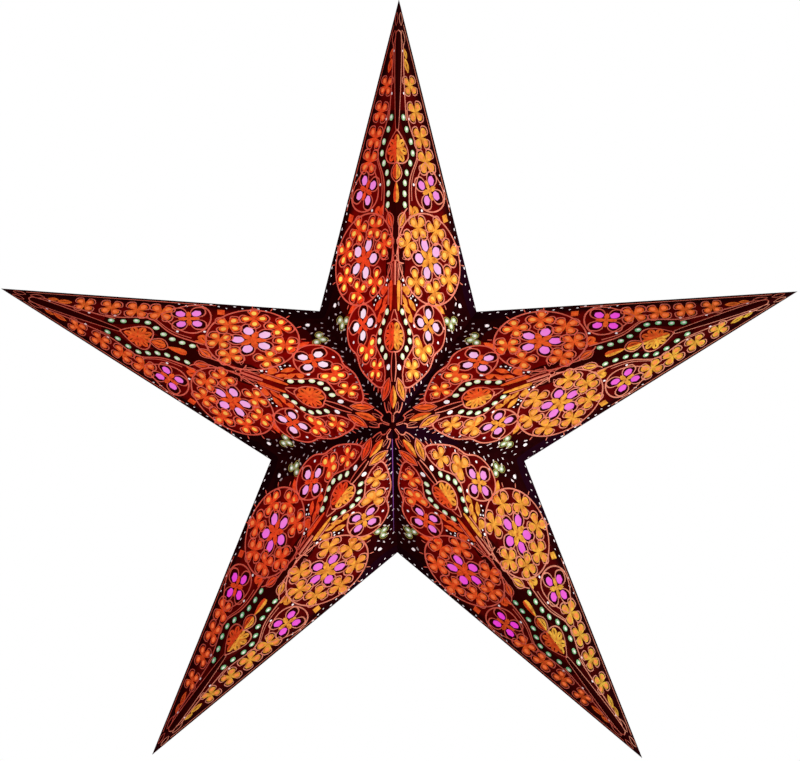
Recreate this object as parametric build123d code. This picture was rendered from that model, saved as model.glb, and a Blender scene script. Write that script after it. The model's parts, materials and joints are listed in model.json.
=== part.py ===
from build123d import *

import os
from math import cos, exp, pi, radians, sin

# A five-pointed paper star lantern that hangs upright, as its lamp opening holds it.
# The origin is the star's centre, +Z is up and the front faces -Y. All sizes are millimetres.

# Star: five equal arms, as deep at the back as at the front
ARM_NAMES = ("top", "upper_right", "lower_right", "lower_left", "upper_left")
TIP_RADIUS = 315.4
NOTCH_RADIUS = 100.5
HALF_DEPTH = 100.0
LAMP_OPENING = 44.0

# Paper: one printed sheet for each arm, with a tissue liner glued inside it
PAPER = 0.35
TISSUE = 0.1
FLAP_WIDTH = 12.0
FLAP_SETBACK = 8.0
LINER_SETBACK = 3.0

# Windows: petals cut in three flowers on each facet, and a string of beads beside its ridge
PETAL_CORNERS = 6
BEAD_CORNERS = 4
ROUNDEL_PETALS = 5
ROUNDEL_REACH = 11.0
ROUNDEL_TURN = -26.0
ROUNDEL_PETAL = (10.5, 8.5)
DROP_PETALS = 4
DROP_REACH = 8.5
INNER_DROP_TURN = 0.0
OUTER_DROP_TURN = 14.0
DROP_PETAL = (8.5, 7.5)
BEADS = 9
BEAD = (6.0, 5.0)

# Places on a facet, as shares of its ridge from apex to tip and of its width there
ROUNDEL_PLACE = (0.411, 0.468)
INNER_DROP_PLACE = (0.258, 0.52)
OUTER_DROP_PLACE = (0.573, 0.63)
BEAD_RUN = (0.52, 0.724)
BEAD_ACROSS = 0.15
BEAD_SWELL = 0.225
BEAD_SWELL_PLACE = 0.655
BEAD_SWELL_SPREAD = 0.05


def outline_point(angle, radius):
    """A point of the star's outline plane, by its angle from the arm's axis and its radius."""
    return Vector(radius * sin(radians(angle)), 0, radius * cos(radians(angle)))


# One arm points up along +Z, between two radial planes where it meets its neighbours
half_step = 180 / len(ARM_NAMES)
tip = outline_point(0, TIP_RADIUS)
left_notch = outline_point(-half_step, NOTCH_RADIUS)
right_notch = outline_point(half_step, NOTCH_RADIUS)
front_apex = Vector(0, -HALF_DEPTH, 0)
back_apex = Vector(0, HALF_DEPTH, 0)

# The front left facet, with x along its ridge and y across it towards the notch
ridge = tip - front_apex
valley = left_notch - front_apex
facet_plane = Plane(front_apex, x_dir=ridge, z_dir=ridge.cross(valley))
facet_distance = abs(facet_plane.z_dir.dot(front_apex))
facet_notch = facet_plane.to_local_coords(left_notch)

# The left radial plane, with x along the front valley fold and z pointing into the arm
valley_plane = Plane(front_apex, x_dir=valley, z_dir=-outline_point(-half_step - 90, 1).normalized())


def four_ways(shape):
    """A shape of the front left quarter of an arm, with its mirror images in the other three."""
    front = [shape, mirror(shape, about=Plane.YZ)]
    return front + [mirror(half, about=Plane.XZ) for half in front]


def arm_core(inset):
    """The solid inside an arm's four facets and two radial planes, with its facets moved inwards."""
    share = 1 - inset / facet_distance
    corners = (front_apex, back_apex, left_notch, right_notch, tip)
    return ConvexPolyhedron([corner * share for corner in corners])


def folded_sheet(inset, thickness):
    """A sheet folded along the ridges and the outline, lying inset from the arm's outer faces."""
    return arm_core(inset) - arm_core(inset + thickness)


def opening_cut(setback):
    """What leaves one side of the lamp opening when it is cut off an arm's back corner."""
    reach = 2 * NOTCH_RADIUS
    corner = Box(reach, reach, reach, align=(Align.CENTER, Align.MIN, Align.MAX))
    return Pos(0, 0, LAMP_OPENING / 2 + setback) * corner


def glue_flap():
    """A mitred flap folded in along the front left valley, flat on the radial plane."""
    first = FLAP_SETBACK
    last = valley.length - FLAP_SETBACK
    outline = Polygon(
        (first, 0),
        (first + FLAP_WIDTH, -FLAP_WIDTH),
        (last - FLAP_WIDTH, -FLAP_WIDTH),
        (last, 0),
        align=None,
    )
    return extrude(valley_plane * outline, amount=PAPER)


def facet_point(place):
    """A place on the facet, given in shares, as a point of its plane."""
    along, across = place
    x = along * ridge.length
    width = facet_notch.Y * min(x / facet_notch.X, (ridge.length - x) / (ridge.length - facet_notch.X))
    return x, across * width


def window(size, corners):
    """A window cut with straight snips between corners on an oval."""
    length, width = size
    turns = [2 * pi * i / corners for i in range(corners)]
    return Polygon(*[(length / 2 * cos(turn), width / 2 * sin(turn)) for turn in turns], align=None)


def flower(place, petals, reach, turn, size):
    """A ring of petal windows that point away from the flower's middle."""
    ring = PolarLocations(reach, petals, start_angle=turn)
    return [Pos(*facet_point(place)) * spot * window(size, PETAL_CORNERS) for spot in ring]


def bead_place(number):
    """The place of one bead, in even steps along the ridge, on a line that swells away from it."""
    first, last = BEAD_RUN
    along = first + (last - first) * number / (BEADS - 1)
    offset = (along - BEAD_SWELL_PLACE) / BEAD_SWELL_SPREAD
    return along, BEAD_ACROSS + BEAD_SWELL * exp(-offset * offset)


def bead_string():
    """Bead windows along their line."""
    return [Pos(*facet_point(bead_place(i))) * window(BEAD, BEAD_CORNERS) for i in range(BEADS)]


def facet_windows():
    """Cutters for every window of the front left facet, reaching through the paper."""
    outlines = flower(ROUNDEL_PLACE, ROUNDEL_PETALS, ROUNDEL_REACH, ROUNDEL_TURN, ROUNDEL_PETAL)
    outlines += flower(INNER_DROP_PLACE, DROP_PETALS, DROP_REACH, INNER_DROP_TURN, DROP_PETAL)
    outlines += flower(OUTER_DROP_PLACE, DROP_PETALS, DROP_REACH, OUTER_DROP_TURN, DROP_PETAL)
    outlines += bead_string()
    return extrude(facet_plane * (Sketch() + outlines), amount=2 * PAPER, both=True)


def paper_arm():
    """One arm: the folded sheet with its glue flaps, less its windows and its lamp opening corner."""
    sheet = folded_sheet(0, PAPER) + four_ways(glue_flap())
    return sheet - four_ways(facet_windows()) - opening_cut(0)


def tissue_liner():
    """The tissue glued inside an arm, which stops short of the glue flaps and of the lamp opening."""
    reach = 2 * TIP_RADIUS
    spread = outline_point(half_step, reach)
    sector = extrude(Plane.XZ * Polygon((0, 0), (spread.X, spread.Z), (-spread.X, spread.Z), align=None),
                     amount=reach, both=True)
    between_flaps = Pos(0, 0, LINER_SETBACK / sin(radians(half_step))) * sector
    return (folded_sheet(PAPER, TISSUE) & between_flaps) - opening_cut(LINER_SETBACK)


os.makedirs("parts", exist_ok=True)
arm = paper_arm()
liner = tissue_liner()
for number, name in enumerate(ARM_NAMES):
    turn = Rot(0, 2 * half_step * number, 0)
    export_step(turn * arm, f"parts/arm_{name}.step")
    export_step(turn * liner, f"parts/liner_{name}.step")
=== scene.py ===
# %% [markdown]
# # A folded paper star lantern
# The lantern is five folded paper arms, glued edge to edge, with coloured tissue behind the windows
# cut in them. The solids already hold the folds, the flaps, the large windows and the tissue.
# This lesson adds what a printer and a lamp add: the ink, the small panes and the glow.

# %% Load the frame
import json
import math

import bpy
from mathutils import Matrix, Vector

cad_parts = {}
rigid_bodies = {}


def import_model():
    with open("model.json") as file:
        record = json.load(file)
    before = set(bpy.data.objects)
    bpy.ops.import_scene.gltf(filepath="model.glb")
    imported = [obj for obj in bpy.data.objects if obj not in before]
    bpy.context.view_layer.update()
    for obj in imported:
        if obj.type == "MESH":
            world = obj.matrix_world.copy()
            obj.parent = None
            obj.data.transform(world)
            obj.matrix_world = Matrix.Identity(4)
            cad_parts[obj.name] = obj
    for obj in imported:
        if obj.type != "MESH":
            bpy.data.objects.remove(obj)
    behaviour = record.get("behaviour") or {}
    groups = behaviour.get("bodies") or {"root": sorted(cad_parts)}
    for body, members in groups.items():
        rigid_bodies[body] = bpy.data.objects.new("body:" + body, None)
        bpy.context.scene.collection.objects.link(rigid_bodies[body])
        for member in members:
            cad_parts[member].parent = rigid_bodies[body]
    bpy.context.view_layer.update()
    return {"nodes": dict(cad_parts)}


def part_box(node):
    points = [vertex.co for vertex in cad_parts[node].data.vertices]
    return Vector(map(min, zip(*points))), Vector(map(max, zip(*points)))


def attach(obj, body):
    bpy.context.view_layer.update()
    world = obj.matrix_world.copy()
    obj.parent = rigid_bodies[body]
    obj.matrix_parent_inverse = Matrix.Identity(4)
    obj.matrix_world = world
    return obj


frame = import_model()
print("solids", sorted(frame["nodes"]))

# %% [markdown]
# ## One facet, twenty times
# Every arm has four equal facets, and all of them carry the same print. It could be modelled on each
# facet in place, but a flat drawing is easier to measure, so it is drawn once and copied twenty times.
# The drawing's x runs along the ridge from the middle of the star to the tip, and its y runs across
# the facet from the ridge towards the notch. The sizes come from the top arm's own box.

# %% Measure the facet
MM = 0.001
ARMS = ("top", "upper_right", "lower_right", "lower_left", "upper_left")
arm_step = 2 * math.pi / len(ARMS)
arm_low, arm_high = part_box("arm_top")
apex = Vector((0, arm_low.y, 0))
tip = Vector((0, 0, arm_high.z))
notch = Vector((arm_low.x, 0, -arm_low.x / math.tan(arm_step / 2)))

ridge_length = (tip - apex).length
ridge_way = (tip - apex).normalized()
notch_x = (notch - apex).dot(ridge_way)
across_way = (notch - apex - ridge_way * notch_x).normalized()
notch_y = (notch - apex).dot(across_way)
outward = ridge_way.cross(across_way)
left_facet = Matrix((ridge_way, across_way, outward)).transposed().to_4x4()
left_facet.translation = apex


def facet_places(number):
    """The four facets of an arm as matrices: front left, front right, and both again at the back."""
    turn = Matrix.Rotation(arm_step * number, 4, "Y")
    return [turn @ Matrix.Diagonal((x, y, 1, 1)) @ left_facet for y in (1, -1) for x in (1, -1)]


def at_share(along, across):
    """A point of the drawing, in shares of the ridge and of the facet's width there."""
    x = along * ridge_length
    width = notch_y * min(x / notch_x, (ridge_length - x) / (ridge_length - notch_x))
    return Vector((x, across * width))


print("facet", round(ridge_length / MM), "x", round(notch_y / MM), "mm, notch at", round(notch_x / MM))

# %% [markdown]
# ## Where the photograph was taken from
# The star fills the picture and its points hardly converge, so the lens is long and far away.
# The middle of the star sits a little left of and below its outline's middle, which means that the
# camera stood slightly to the right and slightly above. A turn of the camera could put the star at its
# place in the picture, but lens shift is used, because it leaves the perspective as it is.

# %% Camera
PHOTO_WIDTH = 800
PHOTO_HEIGHT = 761
STAR_MIDDLE_PX = (397.7, 419.3)
FOCAL_PX = 5024.4
CAMERA_AZIMUTH = math.radians(2.11)
CAMERA_HEIGHT = math.radians(2.78)
CAMERA_ROLL = math.radians(0.16)
CAMERA_DISTANCE = 12 * tip.z

towards_camera = Vector((
    math.sin(CAMERA_AZIMUTH) * math.cos(CAMERA_HEIGHT),
    -math.cos(CAMERA_AZIMUTH) * math.cos(CAMERA_HEIGHT),
    math.sin(CAMERA_HEIGHT),
))
bpy.ops.object.select_all(action="DESELECT")
bpy.ops.object.camera_add(location=towards_camera * CAMERA_DISTANCE)
camera = bpy.context.object
camera.rotation_euler = (-towards_camera).to_track_quat("-Z", "Y").to_euler()
camera.rotation_euler.rotate_axis("Z", CAMERA_ROLL)
camera.data.lens = camera.data.sensor_width * FOCAL_PX / PHOTO_WIDTH
camera.data.shift_x = (PHOTO_WIDTH / 2 - STAR_MIDDLE_PX[0]) / PHOTO_WIDTH
camera.data.shift_y = (STAR_MIDDLE_PX[1] - PHOTO_HEIGHT / 2) / PHOTO_WIDTH
bpy.context.scene.camera = camera
print("lens", round(camera.data.lens), "mm")

# %% [markdown]
# ## Light
# A key lamp from the right turns the facets that face it golden, and the others keep the red of the
# light that comes through the paper. Strong lamps could make the background white, but they would wash
# out the glow. So it is white only where it is seen, directly or in a reflection, and lights the star
# dimly. The floor is lifted for the camera alone.

# %% Key lamp
KEY_DISTANCE = 2.5
KEY_FROM = Vector((0.8, -0.5, -0.2)).normalized() * KEY_DISTANCE
KEY_SIZE = 0.9
KEY_POWER = 60
KEY_TINT = (1.0, 0.95, 0.88)

bpy.context.scene.view_settings.view_transform = "Standard"
bpy.ops.object.light_add(type="AREA", location=KEY_FROM)
key = bpy.context.object
key.rotation_euler = (-KEY_FROM).to_track_quat("-Z", "Y").to_euler()
key.data.size = KEY_SIZE
key.data.energy = KEY_POWER
key.data.color = KEY_TINT
print("key lamp at", [round(v, 2) for v in KEY_FROM])

# %% World
FILL_LEVEL = 0.05

world = bpy.data.worlds.new("studio")
bpy.context.scene.world = world
world.use_nodes = True
sky = world.node_tree.nodes["Background"]
sky.inputs["Color"].default_value = (1, 1, 1, 1)
rays = world.node_tree.nodes.new("ShaderNodeLightPath")
seen = rays.outputs["Is Camera Ray"]
for ray in ("Is Glossy Ray", "Is Transmission Ray"):
    either = world.node_tree.nodes.new("ShaderNodeMath")
    either.operation = "MAXIMUM"
    world.node_tree.links.new(seen, either.inputs[0])
    world.node_tree.links.new(rays.outputs[ray], either.inputs[1])
    seen = either.outputs["Value"]
level = world.node_tree.nodes.new("ShaderNodeMapRange")
level.inputs["To Min"].default_value = FILL_LEVEL
world.node_tree.links.new(seen, level.inputs["Value"])
world.node_tree.links.new(level.outputs["Result"], sky.inputs["Strength"])
print("world lights the star at", FILL_LEVEL)

# %% Floor
FLOOR_DROP = 0.6
FLOOR_SIZE = 2.6
FLOOR_LIFT = 0.45
FLOOR_GREY = 0.85
FLOOR_ROUGHNESS = 0.8

bpy.ops.mesh.primitive_grid_add(x_subdivisions=2, y_subdivisions=2, size=FLOOR_SIZE)
floor = bpy.context.object
floor.name = "floor"
floor.data.transform(Matrix.Translation((0, 0, -FLOOR_DROP)))
floor_paint = bpy.data.materials.new("pale_floor")
floor_paint.use_nodes = True
floor_shader = floor_paint.node_tree.nodes["Principled BSDF"]
floor_shader.inputs["Base Color"].default_value = (FLOOR_GREY, FLOOR_GREY, FLOOR_GREY, 1)
floor_shader.inputs["Roughness"].default_value = FLOOR_ROUGHNESS
floor_shader.inputs["Emission Color"].default_value = (1, 1, 1, 1)
floor_rays = floor_paint.node_tree.nodes.new("ShaderNodeLightPath")
floor_level = floor_paint.node_tree.nodes.new("ShaderNodeMapRange")
floor_level.inputs["To Max"].default_value = FLOOR_LIFT
floor_paint.node_tree.links.new(floor_rays.outputs["Is Camera Ray"], floor_level.inputs["Value"])
floor_paint.node_tree.links.new(floor_level.outputs["Result"], floor_shader.inputs["Emission Strength"])
floor.data.materials.append(floor_paint)
print("floor", FLOOR_DROP, "m below the middle")

# %% [markdown]
# ## Three effects that the finishes share
# Handmade paper is cloudy and full of fibres, and everything here glows more the nearer it is to the
# lamp, which hangs a little above and to the left of the middle. In the middle, along the valleys,
# round the notches and at the outline the flaps and folds double the paper and let less light through,
# so the ground's glow is painted darker there: painted shade.
# A lamp could stand inside, but light through thin paper is slow to render and noisy, so the glow is
# worked out from the distance to the lamp's place. Each effect is a node group with named sockets,
# built once, so each finish only sets its own values.

# %% Lamp glow
LAMP_PLACE = (-0.022, 0, 0.045)


def new_group(name, inputs, outputs):
    """A shader node group with float or vector sockets, and its two end nodes."""
    group = bpy.data.node_groups.new(name, "ShaderNodeTree")
    for label, kind in inputs:
        group.interface.new_socket(label, in_out="INPUT", socket_type=kind)
    for label, kind in outputs:
        group.interface.new_socket(label, in_out="OUTPUT", socket_type=kind)
    return group, group.nodes.new("NodeGroupInput"), group.nodes.new("NodeGroupOutput")


glow_group, ins, outs = new_group(
    "lamp_glow",
    [("Place", "NodeSocketVector"), ("Near", "NodeSocketFloat"), ("Far", "NodeSocketFloat"),
     ("Fall", "NodeSocketFloat")],
    [("Glow", "NodeSocketFloat")],
)
reach = glow_group.nodes.new("ShaderNodeVectorMath")
reach.operation = "DISTANCE"
reach.inputs[1].default_value = LAMP_PLACE
fade = glow_group.nodes.new("ShaderNodeMapRange")
fade.inputs["To Min"].default_value = 1
fade.inputs["To Max"].default_value = 0
bend = glow_group.nodes.new("ShaderNodeMath")
bend.operation = "POWER"
glow_group.links.new(ins.outputs["Place"], reach.inputs[0])
glow_group.links.new(reach.outputs["Value"], fade.inputs["Value"])
glow_group.links.new(ins.outputs["Near"], fade.inputs["From Min"])
glow_group.links.new(ins.outputs["Far"], fade.inputs["From Max"])
glow_group.links.new(fade.outputs["Result"], bend.inputs[0])
glow_group.links.new(ins.outputs["Fall"], bend.inputs[1])
glow_group.links.new(bend.outputs["Value"], outs.inputs["Glow"])
print("glow from", LAMP_PLACE)

# %% Paper fibre
CLOUD_DETAIL = 4
CLOUD_LOW = 0.3
CLOUD_HIGH = 0.7
FIBRE_SCALE = 1400
FIBRE_TWIST = 1.5

paper_group, ins, outs = new_group(
    "paper_fibre",
    [("Place", "NodeSocketVector"), ("Grain", "NodeSocketFloat")],
    [("Cloud", "NodeSocketFloat"), ("Height", "NodeSocketFloat")],
)
cloud = paper_group.nodes.new("ShaderNodeTexNoise")
cloud.inputs["Detail"].default_value = CLOUD_DETAIL
fibre = paper_group.nodes.new("ShaderNodeTexNoise")
fibre.inputs["Scale"].default_value = FIBRE_SCALE
fibre.inputs["Distortion"].default_value = FIBRE_TWIST
sharp = paper_group.nodes.new("ShaderNodeMapRange")
sharp.inputs["From Min"].default_value = CLOUD_LOW
sharp.inputs["From Max"].default_value = CLOUD_HIGH
paper_group.links.new(ins.outputs["Place"], cloud.inputs["Vector"])
paper_group.links.new(ins.outputs["Place"], fibre.inputs["Vector"])
paper_group.links.new(ins.outputs["Grain"], cloud.inputs["Scale"])
paper_group.links.new(cloud.outputs["Fac"], sharp.inputs["Value"])
paper_group.links.new(sharp.outputs["Result"], outs.inputs["Cloud"])
paper_group.links.new(fibre.outputs["Fac"], outs.inputs["Height"])
print("paper fibre of", len(paper_group.nodes), "nodes")

# %% Fold shade
# Painted shade: the ground's glow fades to its fold colour near the valleys, the notches, the outline and
# the middle, where doubled paper lets less of the lamp's light through
VALLEY_DARK = math.radians(3)
VALLEY_CLEAR = math.radians(7)
NOTCH_REACH = math.radians(8)
NOTCH_DEPTH = 22 * MM
NOTCH_END = 40 * MM
EDGE_DARK = 3 * MM
EDGE_CLEAR = 11 * MM
APEX_DARK = 4 * MM
APEX_CLEAR = 24 * MM


def rise_between(group, value, dark, clear):
    """A smooth step in a group, from 0 at a dark value to 1 at a clear one."""
    step = group.nodes.new("ShaderNodeMapRange")
    step.interpolation_type = "SMOOTHSTEP"
    step.inputs["From Min"].default_value = dark
    step.inputs["From Max"].default_value = clear
    group.links.new(value, step.inputs["Value"])
    return step.outputs["Result"]


fold_group, ins, outs = new_group(
    "fold_shade", [("Place", "NodeSocketVector")], [("Clear", "NodeSocketFloat")],
)
axes = fold_group.nodes.new("ShaderNodeSeparateXYZ")
around = fold_group.nodes.new("ShaderNodeMath")
around.operation = "ARCTAN2"
off_axis = fold_group.nodes.new("ShaderNodeMath")
off_axis.operation = "PINGPONG"
off_axis.inputs[1].default_value = arm_step / 2
depth = fold_group.nodes.new("ShaderNodeMath")
depth.operation = "ABSOLUTE"
fold_group.links.new(ins.outputs["Place"], axes.inputs["Vector"])
fold_group.links.new(axes.outputs["X"], around.inputs[0])
fold_group.links.new(axes.outputs["Z"], around.inputs[1])
fold_group.links.new(around.outputs["Value"], off_axis.inputs[0])
fold_group.links.new(axes.outputs["Y"], depth.inputs[0])
wider = fold_group.nodes.new("ShaderNodeMath")
wider.operation = "MULTIPLY_ADD"
wider.inputs[1].default_value = NOTCH_REACH
notch_near = rise_between(fold_group, depth.outputs["Value"], NOTCH_END, NOTCH_DEPTH)
fold_group.links.new(notch_near, wider.inputs[0])
fold_group.links.new(off_axis.outputs["Value"], wider.inputs[2])
clear = rise_between(
    fold_group, wider.outputs["Value"], arm_step / 2 - VALLEY_DARK, arm_step / 2 - VALLEY_CLEAR,
)
for dark_end, clear_end in ((EDGE_DARK, EDGE_CLEAR), (-apex.y - APEX_DARK, -apex.y - APEX_CLEAR)):
    rise = rise_between(fold_group, depth.outputs["Value"], dark_end, clear_end)
    both = fold_group.nodes.new("ShaderNodeMath")
    both.operation = "MULTIPLY"
    fold_group.links.new(clear, both.inputs[0])
    fold_group.links.new(rise, both.inputs[1])
    clear = both.outputs["Value"]
fold_group.links.new(clear, outs.inputs["Clear"])
print("groups", [group.name for group in bpy.data.node_groups])

# %% [markdown]
# ## Finishes
# Each finish is a rough sheet whose base colour wanders between two tones with the paper's cloud.
# What the lamp sends through it is emission, which runs from one colour near the lamp to another
# far from it and is as cloudy as the paper. A translucent shader could carry that light, but emission
# has no noise and keeps its colour under any lamp. The ink lets through red, which is why a facet in
# shade looks red and a lit one gold.

# %% Finish helpers
PAPER_ROUGHNESS = 0.8
RELIEF_STRENGTH = 0.3
RELIEF_HEIGHT = 0.2 * MM
# A Mix node has sockets for numbers, vectors and colours, and these are the ones that mix colours
MIX_SHARE = 0
MIX_FIRST = 6
MIX_SECOND = 7
MIX_RESULT = 2


def effect(tree, group, **values):
    """A node group in a material, fed with the place on the object and given its own values."""
    node = tree.nodes.new("ShaderNodeGroup")
    node.node_tree = group
    for label, value in values.items():
        node.inputs[label].default_value = value
    where = tree.nodes.new("ShaderNodeTexCoord")
    tree.links.new(where.outputs["Object"], node.inputs["Place"])
    return node


def blend(tree, share, first, second):
    """A colour between two others. The second may come from another node."""
    mix = tree.nodes.new("ShaderNodeMix")
    mix.data_type = "RGBA"
    mix.inputs[MIX_FIRST].default_value = (*first, 1)
    if isinstance(second, tuple):
        mix.inputs[MIX_SECOND].default_value = (*second, 1)
    else:
        tree.links.new(second, mix.inputs[MIX_SECOND])
    tree.links.new(share, mix.inputs[MIX_SHARE])
    return mix.outputs[MIX_RESULT]


def finish(name, tones, grain, near, far, span, fall=1, folds=None, uneven=0.12, gloss=0.2):
    """A paper-like material: two base tones, and a glow that changes from near to far over a span in mm."""
    material = bpy.data.materials.new(name)
    material.use_nodes = True
    tree = material.node_tree
    shader = tree.nodes["Principled BSDF"]
    shader.inputs["Roughness"].default_value = PAPER_ROUGHNESS
    shader.inputs["Specular IOR Level"].default_value = gloss
    paper = effect(tree, paper_group, Grain=grain)
    glow = effect(tree, glow_group, Near=span[0] * MM, Far=span[1] * MM, Fall=fall)
    strength = tree.nodes.new("ShaderNodeMapRange")
    strength.inputs["To Min"].default_value = 1 - uneven
    strength.inputs["To Max"].default_value = 1 + uneven
    tree.links.new(paper.outputs["Cloud"], strength.inputs["Value"])
    light = blend(tree, glow.outputs["Glow"], far, near)
    # Painted shade: near the folds the glow turns to the given fold colour
    if folds:
        light = blend(tree, effect(tree, fold_group).outputs["Clear"], folds, light)
    cloudy = tree.nodes.new("ShaderNodeVectorMath")
    cloudy.operation = "SCALE"
    tree.links.new(light, cloudy.inputs["Vector"])
    tree.links.new(strength.outputs["Result"], cloudy.inputs["Scale"])
    relief = tree.nodes.new("ShaderNodeBump")
    relief.inputs["Strength"].default_value = RELIEF_STRENGTH
    relief.inputs["Distance"].default_value = RELIEF_HEIGHT
    tree.links.new(blend(tree, paper.outputs["Cloud"], *tones), shader.inputs["Base Color"])
    tree.links.new(cloudy.outputs["Vector"], shader.inputs["Emission Color"])
    shader.inputs["Emission Strength"].default_value = 1
    tree.links.new(paper.outputs["Height"], relief.inputs["Height"])
    tree.links.new(relief.outputs["Normal"], shader.inputs["Normal"])
    print("finish", name)
    return material


# %% Ground paper and the main inks
# The ground's glow turns near black at the folds: painted shade
ground_paper = finish(
    "ground_paper", ((0.006, 0.0008, 0.0010), (0.014, 0.0014, 0.0020)), 150,
    near=(0.185, 0.0014, 0.0006), far=(0.032, 0.0006, 0.0005), span=(45, 330), fall=2,
    folds=(0.008, 0.0003, 0.0006), uneven=0.4, gloss=0,
)
dark_ink_and_shade = finish(
    "dark_ink_and_shade", ((0.005, 0.0006, 0.0008), (0.011, 0.001, 0.0012)), 60,
    near=(0.026, 0.0005, 0.0005), far=(0.014, 0.0003, 0.0003), span=(60, 260), gloss=0,
)
# Painted shade: an almost glowless purple-black for the doubled paper by the folds, whose purple shows
# under the key lamp
fold_ink_and_shade = finish(
    "fold_ink_and_shade", ((0.007, 0.001, 0.005), (0.014, 0.002, 0.010)), 60,
    near=(0.005, 0.0003, 0.0006), far=(0.003, 0.0, 0.0004), span=(60, 260), gloss=0,
)
gold_ink = finish(
    "gold_ink", ((0.13, 0.155, 0.010), (0.40, 0.57, 0.060)), 260,
    near=(0.76, 0.014, 0.008), far=(0.36, 0.003, 0.003), span=(60, 290), uneven=0.28,
)
line_ink = finish(
    "line_ink", ((0.32, 0.19, 0.12), (0.46, 0.29, 0.20)), 220,
    near=(0.66, 0.070, 0.044), far=(0.27, 0.020, 0.014), span=(60, 250), uneven=0.2,
)
olive_ink = finish(
    "olive_ink", ((0.16, 0.17, 0.03), (0.24, 0.25, 0.06)), 220,
    near=(0.30, 0.20, 0.04), far=(0.12, 0.10, 0.03), span=(60, 260),
)

# %% Tissue and panes
tissue = finish(
    "pink_tissue", ((0.08, 0.06, 0.08), (0.13, 0.10, 0.12)), 120,
    near=(1.0, 0.84, 0.90), far=(0.76, 0.035, 0.58), span=(45, 220), fall=2.2, uneven=0.05,
)
yellow_pane = finish(
    "yellow_pane", ((0.16, 0.13, 0.02), (0.24, 0.18, 0.04)), 200,
    near=(1.0, 0.86, 0.13), far=(0.74, 0.120, 0.036), span=(60, 170), fall=1.7,
)
green_pane = finish(
    "green_pane", ((0.13, 0.22, 0.11), (0.17, 0.26, 0.14)), 200,
    near=(0.88, 0.88, 0.54), far=(0.11, 0.32, 0.15), span=(60, 205),
)
# Painted light: a violet glow for the light that leaks through the bottom seam
seam_leak_glow = finish(
    "seam_leak_glow", ((0.05, 0.02, 0.07), (0.08, 0.03, 0.10)), 200,
    near=(0.28, 0.07, 0.40), far=(0.06, 0.012, 0.07), span=(100, 128),
)
white_pane = finish(
    "white_pane", ((0.5, 0.5, 0.5), (0.6, 0.58, 0.58)), 200,
    near=(0.85, 0.76, 0.78), far=(0.50, 0.42, 0.45), span=(70, 260),
)

# %% Dim inks for the sprigs and the valley specks
green_ink = finish(
    "green_ink", ((0.22, 0.34, 0.16), (0.34, 0.46, 0.24)), 200,
    near=(0.32, 0.38, 0.21), far=(0.06, 0.14, 0.07), span=(60, 205),
)
white_ink = finish(
    "white_ink", ((0.72, 0.68, 0.70), (0.88, 0.84, 0.86)), 200,
    near=(0.32, 0.24, 0.26), far=(0.05, 0.04, 0.045), span=(70, 230),
)

# %% Dress the solids
for node_name, node in frame["nodes"].items():
    node.data.materials.clear()
    node.data.materials.append(ground_paper if node_name.startswith("arm_") else tissue)
print("dressed", len(frame["nodes"]), "solids")

# %% [markdown]
# ## Stamps
# The ornament is built from a few small shapes, as a block printer builds it from a few blocks.
# A stamp starts as a circle whose corners are moved onto a petal, leaf or drop. A filled circle gives
# a field of colour. Two open circles, bridged, give an outline or a petal with a hole for its window.
# Curves could be filled instead, but a circle's count of corners keeps each stamp to a few dozen faces.

# %% Outline forms
# Drops and onions are scaled by their widest place, so that they too have a half width of 1
DROP_WIDEST = 0.77


def swell(along, base, rise, place, spread):
    """A value that swells from its base round one place, as a string of beads does round a medallion."""
    return base + rise * math.exp(-(((along - place) / spread) ** 2))


def oval(turn):
    """A point of an oval, whose half length and half width are 1, for a turn that starts at its far end."""
    return math.cos(turn), math.sin(turn)


def pear(turn):
    """A long egg with a waist and a broad far end."""
    x, y = oval(turn)
    return x, y * (1 + 0.4 * x) * swell(x, 1, -0.22, 0.1, 0.22)


def drop(turn):
    """A drop that is round at its far end and pointed at its foot."""
    return math.cos(turn), math.sin(turn) * math.cos(turn / 2) / DROP_WIDEST


def leaf(turn):
    """A leaf that is pointed at both ends."""
    return math.cos(turn), math.sin(turn) * abs(math.sin(turn))


def onion(turn):
    """A bulb with a point at its far end."""
    return math.cos(turn), math.sin(turn) * abs(math.sin(turn / 2)) / DROP_WIDEST


def blade(turn):
    """A strip with round ends that is broader at its far end."""
    return math.cos(turn), math.copysign(abs(math.sin(turn)) ** 0.4, turn) * (0.75 + 0.25 * math.cos(turn))


def ogee(turn):
    """A drop whose far end is drawn out to a point."""
    x, y = drop(turn)
    return swell(turn, x, 0.2, 0, 0.4), y


# %% Stamp makers


def add_loop(form, length, width, centre, sides, filled):
    """Adds a circle and moves its corners onto a form, in millimetres."""
    bpy.ops.mesh.primitive_circle_add(vertices=sides, radius=1, fill_type="NGON" if filled else "NOTHING")
    loop = bpy.context.object
    for corner in loop.data.vertices:
        x, y = form(math.atan2(corner.co.y, corner.co.x))
        corner.co = Vector((centre + length / 2 * x, width / 2 * y, 0)) * MM
    return loop


def make_stamp(stamp, name, layer, ink):
    """Turns a stamp's faces up and gives it its name, its layer and its ink."""
    stamp.name = name
    stamp["layer"] = layer
    stamp.data.materials.append(ink)
    bpy.ops.object.mode_set(mode="EDIT")
    bpy.ops.mesh.select_all(action="SELECT")
    bpy.ops.mesh.normals_make_consistent(inside=False)
    bpy.ops.object.mode_set(mode="OBJECT")
    if stamp.data.polygons[0].normal.z < 0:
        stamp.data.flip_normals()
    return stamp


def field(name, layer, ink, form, length, width, centre=0.0, sides=12):
    """A stamp filled with colour."""
    bpy.ops.object.select_all(action="DESELECT")
    return make_stamp(add_loop(form, length, width, centre, sides, True), name, layer, ink)


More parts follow.
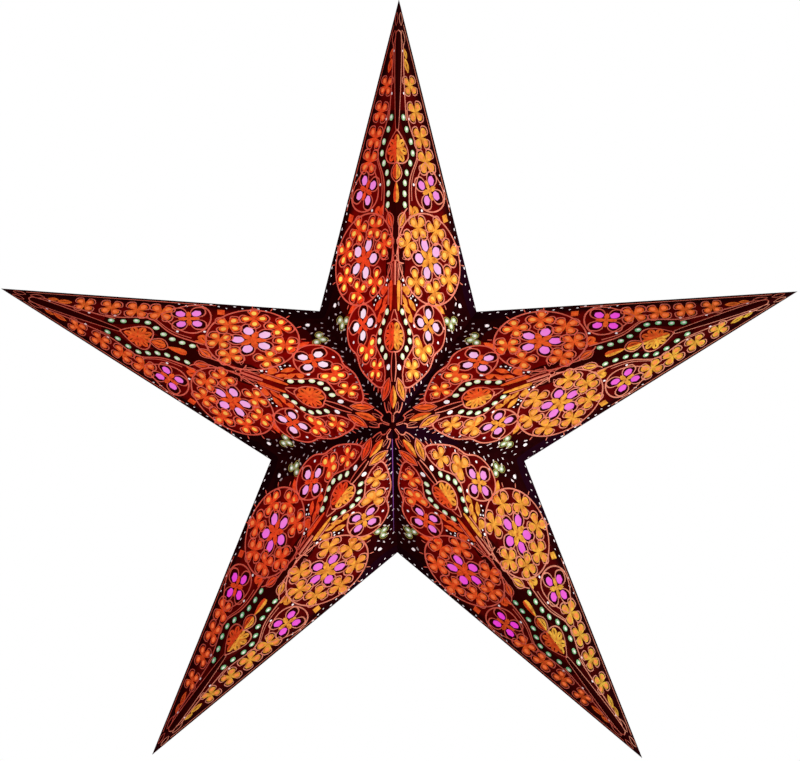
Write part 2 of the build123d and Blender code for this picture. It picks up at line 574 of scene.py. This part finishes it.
def band(name, layer, ink, outer, inner, sides=12):
    """A stamp with a hole: two loops of (form, length, width, centre), bridged."""
    bpy.ops.object.select_all(action="DESELECT")
    first = add_loop(*outer, sides, False)
    second = add_loop(*inner, sides, False)
    first.select_set(True)
    second.select_set(True)
    bpy.ops.object.join()
    bpy.ops.object.mode_set(mode="EDIT")
    bpy.ops.mesh.select_all(action="SELECT")
    bpy.ops.mesh.bridge_edge_loops()
    bpy.ops.object.mode_set(mode="OBJECT")
    return make_stamp(bpy.context.object, name, layer, ink)


def outline(name, layer, form, length, width, line, centre=0.0, sides=14, ink=line_ink):
    """A stamp that follows a form with a line, of line ink unless another is given."""
    inner = (form, length - 2 * line, width - 2 * line, centre)
    return band(name, layer, ink, (form, length, width, centre), inner, sides)


# %% [markdown]
# ## The printer's set of blocks
# Sizes are in millimetres on the flat facet, and a petal's centre is its distance from the middle of
# its flower. A dark rim round each large window covers the straight snips of the cut and leaves a
# clean oval, and it is also painted shade at the window's edge. The cut could have more snips instead,
# but a printed rim keeps the solids light. The purple-black fields by the valley and the notch are
# painted shade, not print.

# %% Blocks for flowers and beads
small_petal = band("small_petal", "gold", gold_ink, (drop, 9.8, 7.2, 4.9), (oval, 4.6, 3.8, 6.2))
small_pane = field("small_pane", "pane", yellow_pane, oval, 4.6, 3.8, 6.2)
plain_petal = field("plain_petal", "gold", gold_ink, drop, 9.8, 7.2, 4.9)
petal_vein = field("petal_vein", "vein", dark_ink_and_shade, leaf, 5.4, 0.8, 4.6, 6)
petal_loop = outline("petal_loop", "loop", ogee, 9.0, 9.8, 0.9, 6.9, 18)
petal_shade = field("petal_shade", "night", dark_ink_and_shade, ogee, 11.2, 9.2, 5.6, 18)
roundel_loop = outline("roundel_loop", "loop", ogee, 17.0, 12.8, 1.0, 9.8, 20)
# The dark rims hide the snips of the cuts and are partly painted shade at the windows' edges
roundel_rim = band("roundel_rim", "dark", dark_ink_and_shade, (ogee, 16.2, 12.0, 9.8), (oval, 9.4, 7.6, 11), 18)
drop_loop = outline("drop_loop", "loop", ogee, 15.0, 12.2, 1.0, 8.4, 18)
drop_rim = band("drop_rim", "dark", dark_ink_and_shade, (ogee, 14.2, 11.4, 8.4), (oval, 7.9, 6.9, 8.5), 18)
heart_leaf = field("heart_leaf", "gold", gold_ink, leaf, 11.0, 5.6, 5.6, 10)
# The bead's dark rim is partly painted shade in its hole
bead_rim = band("bead_rim", "dark", dark_ink_and_shade, (oval, 7.2, 6.6, 0), (oval, 5.0, 4.3, 0))
bead_pane = field("bead_pane", "pane", green_pane, oval, 5.0, 4.3)
bead_light = field("bead_light", "dark", white_pane, oval, 2.6, 2.0, 0, 8)
sprig_petal = field("sprig_petal", "pane", green_ink, oval, 5.2, 4.3)
sprig_loop = outline("sprig_loop", "loop", oval, 7.6, 6.4, 0.45, 0, 14, olive_ink)
speck = field("speck", "pane", white_ink, oval, 2.8, 1.3, 0, 6)
edge_speck = field("edge_speck", "pane", white_pane, oval, 2.8, 1.3, 0, 6)
dot = field("dot", "pane", white_pane, oval, 2.2, 2.0, 0, 8)
tick = field("tick", "line", line_ink, oval, 4.2, 0.8, 0, 6)
print("petals", round(small_petal.dimensions.x / MM, 1), "mm long")

# %% Blocks for leaves, medallions and outlines
ROUNDEL_SIZE = 71.0
gold_leaf = field("gold_leaf", "gold", gold_ink, leaf, 13.6, 5.8)
leaf_vein = field("leaf_vein", "vein", dark_ink_and_shade, leaf, 9.0, 0.8, 0, 6)
leaf_loop = outline("leaf_loop", "loop", leaf, 16.0, 9.6, 0.85, 0, 16)
slim_loop = outline("slim_loop", "loop", leaf, 12.0, 4.4, 0.6, 0, 14)
roundel_ring = outline("roundel_ring", "line", oval, ROUNDEL_SIZE, ROUNDEL_SIZE, 1.1, 0, 56)
outer_ring = outline("outer_ring", "line", drop, 39.0, 34.0, 1.1, 0, 36)
medal_ring = outline("medal_ring", "line", oval, 26.0, 23.0, 1.0, 0, 28)
medal_petal = field("medal_petal", "gold", gold_ink, drop, 11.0, 6.0, 5.9, 12)
medal_vein = field("medal_vein", "vein", dark_ink_and_shade, leaf, 4.4, 1.1, 8.0, 6)
bulb_ring = outline("bulb_ring", "line", onion, 27.0, 27.0, 1.0, 0, 28)
bud_gold = field("bud_gold", "gold", gold_ink, leaf, 12.5, 9.5)
bud_ring = outline("bud_ring", "line", leaf, 17.0, 13.0, 0.9, 0, 18)
stalk = field("stalk", "gold", gold_ink, drop, 17.0, 6.4, 0, 12)
bar = field("bar", "gold", gold_ink, blade, 24.0, 4.4, 0, 16)
lance_ring = outline("lance_ring", "line", blade, 80.0, 9.8, 0.8, 0, 32)
lance_dark = field("lance_dark", "night", dark_ink_and_shade, blade, 79.0, 9.0, 0, 32)
spear_dark = field("spear_dark", "night", dark_ink_and_shade, drop, 58.0, 12.6, 0, 20)
shaft_dark = field("shaft_dark", "night", dark_ink_and_shade, blade, 34.0, 6.4, 0, 16)
knot_ring = outline("knot_ring", "line", oval, 5.0, 5.0, 0.8, 0, 12)
bud_square = field("bud_square", "gold", gold_ink, oval, 8.4, 7.2, 0, 4)
# A dark oval: under the white dots it is print, by the notch it is painted shade
dots_dark = field("dots_dark", "night", dark_ink_and_shade, oval, 13.0, 7.0, 0, 12)
ridge_dark = field("ridge_dark", "night", dark_ink_and_shade, leaf, 66.0, 22.0, 0, 20)
spray_dark = field("spray_dark", "night", dark_ink_and_shade, leaf, 64.0, 19.0, 0, 20)
knot_dark = field("knot_dark", "night", dark_ink_and_shade, leaf, 32.0, 8.0, 0, 16)
# Painted shade by the valley and by the notch, where the flaps double the paper
valley_night = field("valley_night", "night", fold_ink_and_shade, drop, 70.0, 14.0, 0, 24)
edge_night = field("edge_night", "night", fold_ink_and_shade, drop, 74.0, 20.0, 0, 24)
stamps = [item for item in bpy.data.objects if "layer" in item]
print(len(stamps), "stamps")

# %% [markdown]
# ## Pressing and drawing
# A stamp is pressed as a copy with its own mesh, which joins the layer of its ink. Lines that don't
# close are drawn instead: a flat grid one face wide, whose corners are moved onto a path. A curve could
# be drawn as well, but a grid is a mesh from the start, so it is joined and trimmed as stamps are.

# %% Pressing helpers
# The layers of ink, with their heights in millimetres
RISE = {
    "night": 0.03,
    "pane": 0.06,
    "dark": 0.09,
    "loop": 0.12,
    "gold": 0.15,
    "vein": 0.18,
    "line": 0.21,
    "seam": 0.06,
}
layers = {name: [] for name in RISE}


def spot(x, y):
    """A point of the drawing given in millimetres."""
    return Vector((x, y)) * MM


def direction(turn):
    """The unit vector at a turn in degrees."""
    return Vector((math.cos(math.radians(turn)), math.sin(math.radians(turn))))


def press(stamp, at, turn=0.0, size=1.0):
    """Presses a copy of a stamp at a point of the drawing, with a turn in degrees."""
    copy = stamp.copy()
    copy.data = stamp.data.copy()
    bpy.context.collection.objects.link(copy)
    spin = Matrix.Rotation(math.radians(turn), 4, "Z") @ Matrix.Scale(size, 4)
    copy.data.transform(Matrix.Translation((at.x, at.y, 0)) @ spin)
    layers[stamp["layer"]].append(copy)


def press_round(stamp, at, count, first=0.0, size=1.0):
    """Presses copies of a stamp evenly round a point."""
    for number in range(count):
        press(stamp, at, first + 360 * number / count, size)


def tell(part):
    """Says that a part of the drawing is done, and how many pieces of ink it holds by then."""
    print(part, "drawn,", sum(len(copies) for copies in layers.values()), "pieces of ink so far")


# %% Drawing helpers
NUDGE = 0.001


def draw(path, width=0.9, steps=10, ink=line_ink, layer="line"):
    """Draws a line along a path, a function of a share from 0 to 1, in line ink unless another is given."""
    bpy.ops.mesh.primitive_grid_add(x_subdivisions=steps, y_subdivisions=1, size=2)
    strip = bpy.context.object
    for corner in strip.data.vertices:
        share = (corner.co.x + 1) / 2
        way = (path(share + NUDGE) - path(share - NUDGE)).normalized()
        here = path(share) + Vector((-way.y, way.x)) * corner.co.y * width / 2 * MM
        corner.co = (here.x, here.y, 0)
    strip.data.materials.append(ink)
    layers[layer].append(strip)


def bow(start, end, lift):
    """A path between two points that bows to its left by a number of millimetres."""
    way = end - start
    side = Vector((-way.y, way.x)).normalized() * lift * MM
    return lambda share: start + way * share + side * 4 * share * (1 - share)


def along_valley(distance, inset):
    """A point in millimetres along the valley fold from the middle, and the fold's direction."""
    way = Vector((notch_x, notch_y)).normalized()
    place = way * distance * MM + Vector((way.y, -way.x)) * inset * MM
    return place, math.degrees(math.atan2(way.y, way.x))


def along_edge(distance, inset):
    """A point in millimetres along the outline fold from the notch, and the fold's direction."""
    way = Vector((ridge_length - notch_x, -notch_y)).normalized()
    place = Vector((notch_x, notch_y)) + way * distance * MM + Vector((way.y, -way.x)) * inset * MM
    return place, math.degrees(math.atan2(way.y, way.x))


# %% [markdown]
# ## Motifs
# A motif is a handful of stamps set round a point: a rosette, a posy of small petals with a pane in
# each, a flower with large windows, a bead, a veined leaf, or a fringe of ticks round an outline.
# They could be pressed stamp by stamp, but a function keeps every copy of a motif alike.

# %% Motifs
TICK_STAND = 2.6


def rosette(at, petals, first):
    """Broad petals round a point, with a dark stroke near the end of each."""
    press_round(medal_petal, at, petals, first)
    press_round(medal_vein, at, petals, first)


def posy(at, turns, size=1.0):
    """A small flower: at each turn a petal with a pane, in a dark pointed loop."""
    for turn in turns:
        for stamp in (petal_shade, petal_loop, small_petal, small_pane):
            press(stamp, at, turn, size)


def cross(first):
    """Four turns at right angles."""
    return [first + 90 * number for number in range(4)]


def window_flower(at, petals, turn, loop, rim, heart):
    """The ink round the large windows of a flower, with gold between its petals."""
    press_round(loop, at, petals, turn)
    press_round(rim, at, petals, turn)
    press_round(heart_leaf, at, petals, turn + 180 / petals, heart)


def bead(at):
    """A dark rim, partly painted shade in the bead's hole, with a green pane in it, and the spot where the
    lamp shines through.
    """
    press(bead_rim, at)
    press(bead_pane, at)
    press(bead_light, at + spot(0.4, 0.2))


def veined_leaf(at, turn, size, loop=False):
    """A gold leaf with a dark vein, in a loop or not."""
    press(gold_leaf, at, turn, size)
    press(leaf_vein, at, turn, size)
    if loop:
        press(leaf_loop, at, turn, size)


def fringe(at, turn, form, length, width, first, last, count):
    """Ticks that stand out all along one side of an outline, between two turns in degrees."""
    for number in range(count):
        x, y = form(math.radians(first + (last - first) * number / (count - 1)))
        edge = Vector((length / 2 * x, width / 2 * y))
        heading = Vector((x, y * length / width)).normalized()
        middle = Matrix.Rotation(math.radians(turn), 2) @ (edge + heading * TICK_STAND)
        press(tick, at + middle * MM, turn + math.degrees(math.atan2(heading.y, heading.x)))


# %% [markdown]
# ## The drawing, from the middle to the tip
# A leaf spray starts in the middle. Then come a pear with a pale flower, a roundel with a flower in a
# wreath, a drop with another flower, and a chain of small flowers that thins out to the tip.
# Medallions and lances sit across the ridge, and each facet keeps its half of them. A formula could
# place an even pattern, but this one is drawn freehand, so each motif's place is given one by one.
# The three flowers with large windows, and the outer string of beads, lie on the solids' own windows.

# %% Dark fields by the ridge, and painted shade by the valley and the notch
press(shaft_dark, spot(148, 0))
press(spear_dark, spot(155, 0))
press(ridge_dark, spot(186, 0), 0, 0.95)
press(lance_dark, spot(267, 0))
press(spray_dark, spot(32, 0))
press(knot_dark, spot(124, 7.4))
# Painted shade along the valley and along the outline by the notch
place, turn = along_valley(38, 0)
press(valley_night, place, turn + 180)
place, turn = along_edge(24, 0)
press(edge_night, place, turn + 180)
tell("dark fields")

# %% Leaf spray and pear
PEAR_LENGTH = 76
PEAR_WIDTH = 34
PEAR_TURN = 28
pear_middle = spot(66, 30.5)
inner_flower = at_share(0.258, 0.52)


def pear_outline(share):
    """The outline of the pear, open where the beads run along it."""
    x, y = pear(math.radians(287 * share - 75))
    turned = Matrix.Rotation(math.radians(PEAR_TURN), 2)
    return pear_middle + turned @ spot(PEAR_LENGTH / 2 * x, PEAR_WIDTH / 2 * y)


draw(pear_outline, 1.1, 48)
veined_leaf(spot(22, 0), 0, 1.3)
veined_leaf(spot(29.5, 8.4), -24, 1.15, loop=True)
press(slim_loop, spot(15.3, 4.5), 10, 0.75)
draw(bow(spot(3, 0.4), spot(8.5, 0.7), 0.3), 0.7, 4)
draw(bow(spot(9, 1.2), spot(11.5, 6.8), -1.2), 0.9, 6)
draw(bow(spot(11.5, 6.8), spot(20, 10.2), 0.6), 0.9, 6)
fringe(pear_middle, PEAR_TURN, pear, PEAR_LENGTH, PEAR_WIDTH, 144, 182, 4)
window_flower(inner_flower, 4, 0, drop_loop, drop_rim, 0.75)
posy(spot(66, 32), (87, 170, 235, 300), 1.05)
posy(spot(47.3, 20.8), cross(31), 0.87)
press(slim_loop, spot(38.5, 16.2), 60, 0.6)
press(slim_loop, spot(59, 42), 35, 0.7)
tell("spray and pear")

# %% Ridge medallion with its beads
INNER_BEADS = 6


def inner_string(x):
    """A point on the string of the inner beads, by its distance along the ridge in millimetres."""
    return spot(x, swell(x, 6, 11.8, 71, 15))


def inner_string_line(share):
    """A line on the far side of the inner beads, which closes the pear."""
    x = 40 + 54 * share
    return spot(x, swell(x, 9.5, 12.5, 69, 15))


press(medal_ring, spot(69, 0))
rosette(spot(69, 0), 8, 22.5)
for number in range(INNER_BEADS):
    bead(inner_string(54.9 + 6.82 * number))
draw(lambda share: inner_string(49 + 45 * share), 7.6, 20, dark_ink_and_shade, "night")
draw(inner_string_line, steps=22)
draw(bow(spot(34, 1.4), spot(57, 1.4), 1.2))
draw(bow(spot(89, 0.4), spot(81.2, 3.8), -0.4), steps=6)
tell("medallion")

# %% Roundel with its wreath
# Each posy of the wreath by its bearing from the roundel's middle and its own turn, in degrees
WREATH = ((-76, 0), (-30, 30), (16, 10), (65, 60), (115, 75), (165, 20), (214, 75))
WREATH_RADIUS = 25
roundel = at_share(0.411, 0.468)
press(roundel_ring, roundel)
window_flower(roundel, 5, -26, roundel_loop, roundel_rim, 0.95)
for bearing, turn in WREATH:
    posy(roundel + direction(bearing) * WREATH_RADIUS * MM, cross(turn))
fringe(roundel, 0, oval, ROUNDEL_SIZE, ROUNDEL_SIZE, 62, 150, 5)
tell("roundel")

# %% Bar and leaves below the roundel
press(bar, spot(100.5, 4.4))
draw(bow(spot(94, 7.4), spot(110.5, 7.0), 0.3))
press(plain_petal, spot(107.5, 7.4), 100, 0.95)
press(petal_loop, spot(107.5, 7.4), 100, 0.95)
press(gold_leaf, spot(98, 11.4), 146, 0.72)
press(gold_leaf, spot(96.7, 19.4), 134, 0.85)
press(gold_leaf, spot(92.2, 13.6), 118, 0.8)
press(plain_petal, spot(90, 18.4), 186, 0.75)
press(gold_leaf, spot(100.6, 50.5), 118, 0.9)
press(gold_leaf, spot(104.5, 41), 95, 0.6)
press(dots_dark, spot(101.5, 21.2), 104)
# Painted shade by the notch, where the folds let little of the lamp's light through
press(dots_dark, spot(104.5, 61), 40, 1.35)
for x, y in ((101.5, 18.1), (103.6, 20.2), (101.1, 22.9), (97.8, 24.6)):
    press(dot, spot(x, y), 0, 0.75)
tell("bar and leaves")

# %% Knot, lines and leaves between the roundel and the ridge
draw(bow(spot(108, 0.5), spot(126, 0.5), 0), steps=2)
press(slim_loop, spot(119.5, 6.4), 0, 1.1)
draw(bow(spot(112, 3.2), spot(125, 3.0), 0.4), 0.6)
press(dot, spot(113.5, 9.2), 0, 1.1)
press(dot, spot(110, 10.2), 0, 0.7)
press(knot_ring, spot(128.5, 0))
press(slim_loop, spot(132, 12.6), 65, 0.9)
draw(bow(spot(127.5, 2.2), spot(126.5, 9.4), 0.8), steps=6)
draw(bow(spot(131.5, 1.4), spot(153, 3.4), 0.9), 0.85)
draw(bow(spot(151, 3.8), spot(170, 12.6), -1.6))
draw(bow(spot(148, 4.2), spot(149.5, 9.2), 0.8), steps=6)
draw(bow(spot(142.5, 4.0), spot(143.5, 8.0), 0.5), steps=6)
veined_leaf(spot(159.5, 6.8), 22, 0.95, loop=True)
press(plain_petal, spot(164.9, 18.1), 35)
press(petal_vein, spot(164.9, 18.1), 35)
press(gold_leaf, spot(169, 17), -14, 0.65)
press(bud_square, spot(172, 55), 20)
tell("knot")

# %% Outer drop and bead string
BEADS = 9
FIRST_BEAD = 0.52
BEAD_RUN = 0.204
outer_flower = at_share(0.573, 0.63)
press(outer_ring, outer_flower + spot(2.5, -0.5), 165)
window_flower(outer_flower, 4, 14, drop_loop, drop_rim, 0.75)


def string_point(along, clearance=0.0):
    """A point on the outer bead string, by its share of the ridge, or beside it by some millimetres."""
    return at_share(along, swell(along, 0.15, 0.225, 0.655, 0.05)) + spot(0, clearance)


for number in range(BEADS):
    bead(string_point(FIRST_BEAD + BEAD_RUN * number / (BEADS - 1)))
draw(lambda share: string_point(0.505 + 0.235 * share), 7.8, 24, dark_ink_and_shade, "night")
draw(lambda share: string_point(0.50 + 0.245 * share, 5.0), steps=24)
draw(lambda share: string_point(0.535 + 0.10 * share, 8.0 - 1.5 * share), 0.6)
tell("outer drop")

# %% Bud, bulb and lance on the ridge
press(stalk, spot(180, 0), 180)
press(bud_gold, spot(195.5, 0))
press(leaf_vein, spot(195.5, 1.6))
press(bud_ring, spot(195.5, 0))
press(bulb_ring, spot(215.5, 0))
rosette(spot(213.5, 0), 8, 0)
press(lance_ring, spot(267, 0))
draw(bow(spot(238, 10), spot(297, 5.4), -0.6))
tell("bud and lance")

# %% Chain of flowers towards the tip
for number, (x, y) in enumerate(((211, 33), (228.5, 26.8), (247, 20), (266, 13.6))):
    posy(spot(x, y), cross(27), 1.0 - 0.07 * number)
veined_leaf(spot(281, 9.4), -20, 0.85)
veined_leaf(spot(290, 8), -20, 0.6)
press(slim_loop, spot(302, 5.2), -12)
press(slim_loop, spot(316, 2.4), -5, 0.9)
tell("chain")

# %% Border and white dots
draw(bow(along_edge(78, 2.4)[0], along_edge(222, 2.2)[0], 0), 0.4, steps=2)
for x, y in ((291.5, 5.4), (258.5, 7.2), (240, 13.5), (190, 19.5), (172, 29), (74, 49)):
    press(dot, spot(x, y))
press(dot, spot(46, 6.2), 0, 2.1)
press(dot, spot(81.5, 22.5), 0, 1.5)
press(dot, spot(108, 73), 0, 1.6)
tell("border and dots")

# %% White specks in the valley, by the notch and along the outline
VALLEY_SPECKS = 21
NOTCH_SPECKS = 10
EDGE_SPECKS = 18
PLACE_STEP = (math.sqrt(5) - 1) / 2
SIZE_STEP = 0.37
TURN_STEP = 137


def scatter(number, step):
    """A share from 0 to 1 that jumps about from one number to the next, and is the same each run."""
    return number * step % 1


for number in range(VALLEY_SPECKS):
    place, turn = along_valley(24 + 5.2 * number, 2.0 + 5.2 * scatter(number, PLACE_STEP))
    lean = turn - 30 - 50 * scatter(number, PLACE_STEP)
    press(speck, place, lean, 0.6 + 0.5 * scatter(number, SIZE_STEP))
for number in range(NOTCH_SPECKS):
    place = along_valley(98 + 3.6 * number, 7 + 12 * scatter(number, PLACE_STEP))[0]
    press(speck, place, TURN_STEP * number, 0.8 + 0.5 * scatter(number, SIZE_STEP))
for number in range(EDGE_SPECKS):
    place, turn = along_edge(4 + 6 * number, 1.4 + 4.2 * scatter(number, PLACE_STEP))
    lean = turn + 40 * scatter(number, PLACE_STEP)
    press(edge_speck, place, lean, 0.55 + 0.4 * scatter(number, SIZE_STEP))
tell("specks")

# %% Sprig by the notch, and the light in the seam
sprig = spot(94, 62.5)
for turn in (75, 165, 255):
    for stamp, away in ((sprig_petal, 4.0), (bead_light, 4.0), (sprig_loop, 4.5)):
        press(stamp, sprig + direction(turn) * away * MM, turn)
# Painted light along the seam: a glowing violet strip
draw(bow(along_valley(14, 0.7)[0], along_valley(116, 2.4)[0], 0), 0.5, 2, seam_leak_glow, "seam")
print({layer: len(copies) for layer, copies in layers.items()})

# %% [markdown]
# ## From drawing to raised ink
# Each layer is joined, trimmed along the folds and given its height by a Solidify modifier. The dark
# fields stay lowest, petals cover the inner ends of their loops, and long lines cross over the rest.
# A picture on flat paper could show the print, but ink with a height keeps every edge crisp up close.
# The back facets lose the corner where the lamp goes in, so their drawing is trimmed once more.

# %% Join, trim and raise the layers
FOLD_MARGIN = 0.15 * MM
RIDGE_MARGIN = 0.03 * MM
OPENING_MARGIN = 1 * MM
# The arm's back ridge reaches arm_high.y where the lamp opening cuts it, which gives the cut's height
opening_height = tip.z * (1 + arm_high.y / apex.y) + OPENING_MARGIN


def trim(sheet, point, normal):
    """Cuts off what lies behind a line of the drawing."""
    bpy.ops.object.select_all(action="DESELECT")
    bpy.context.view_layer.objects.active = sheet
    bpy.ops.object.mode_set(mode="EDIT")
    bpy.ops.mesh.select_all(action="SELECT")
    bpy.ops.mesh.bisect(plane_co=(*point, 0), plane_no=(*normal, 0), clear_inner=True)
    bpy.ops.object.mode_set(mode="OBJECT")


def raise_ink(sheet, rise):
    """Gives a flat sheet of ink its height."""
    bpy.context.view_layer.objects.active = sheet
    height = sheet.modifiers.new("height", "SOLIDIFY")
    height.thickness = rise * MM
    height.offset = 1
    bpy.ops.object.modifier_apply(modifier="height")


front_drawing = {}
back_drawing = {}
valley_side = Vector((notch_y, -notch_x)).normalized()
edge_side = Vector((-notch_y, notch_x - ridge_length)).normalized()
opening_side = Vector((ridge_way.z, across_way.z))
for name, rise in RISE.items():
    bpy.ops.object.select_all(action="DESELECT")
    for copy in layers[name]:
        copy.select_set(True)
    bpy.context.view_layer.objects.active = layers[name][0]
    bpy.ops.object.join()
    front = bpy.context.object
    trim(front, (0, RIDGE_MARGIN), (0, 1))
    trim(front, valley_side * FOLD_MARGIN, valley_side)
    trim(front, Vector((ridge_length, 0)) + edge_side * FOLD_MARGIN, edge_side)
    back = front.copy()
    back.data = front.data.copy()
    bpy.context.collection.objects.link(back)
    trim(back, opening_side * opening_height / opening_side.length_squared, opening_side)
    raise_ink(front, rise)
    raise_ink(back, rise)
    front_drawing[name] = front
    back_drawing[name] = back
print("faces of one facet", sum(len(sheet.data.polygons) for sheet in front_drawing.values()))

# %% [markdown]
# ## Twenty facets
# The drawing is copied to the four facets of each arm. Mirror modifiers could do it, but one matrix for
# each facet also turns it round the star. Two of the four places are mirror images, and a mirrored mesh
# is inside out, so its faces are flipped back. One strip is printed only once: violet light leaks along
# the seam at the bottom, where the last two arms were closed.

# %% Print the arms
FRONT_FACETS = 2


def printed(name, number, inks, facets=4):
    """Some inks of the drawing on the first facets of one arm, as one piece."""
    bpy.ops.object.select_all(action="DESELECT")
    for facet, place in enumerate(facet_places(number)[:facets]):
        drawing = front_drawing if facet < FRONT_FACETS else back_drawing
        for ink in inks:
            copy = drawing[ink].copy()
            copy.data = drawing[ink].data.copy()
            bpy.context.collection.objects.link(copy)
            copy.data.transform(place)
            if place.determinant() < 0:
                copy.data.flip_normals()
            copy.select_set(True)
            bpy.context.view_layer.objects.active = copy
    bpy.ops.object.join()
    piece = bpy.context.object
    piece.name = name
    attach(piece, "root")
    return piece


for number, arm in enumerate(ARMS):
    ink = printed(f"print_{arm}", number, [name for name in RISE if name not in ("pane", "seam")])
    panes = printed(f"panes_{arm}", number, ["pane"])
    print(arm, len(ink.data.polygons), "ink faces,", len(panes.data.polygons), "pane faces")
seam = printed("seam_light", ARMS.index("lower_left"), ["seam"], facets=1)
for leftover in [*stamps, *front_drawing.values(), *back_drawing.values()]:
    bpy.data.objects.remove(leftover)
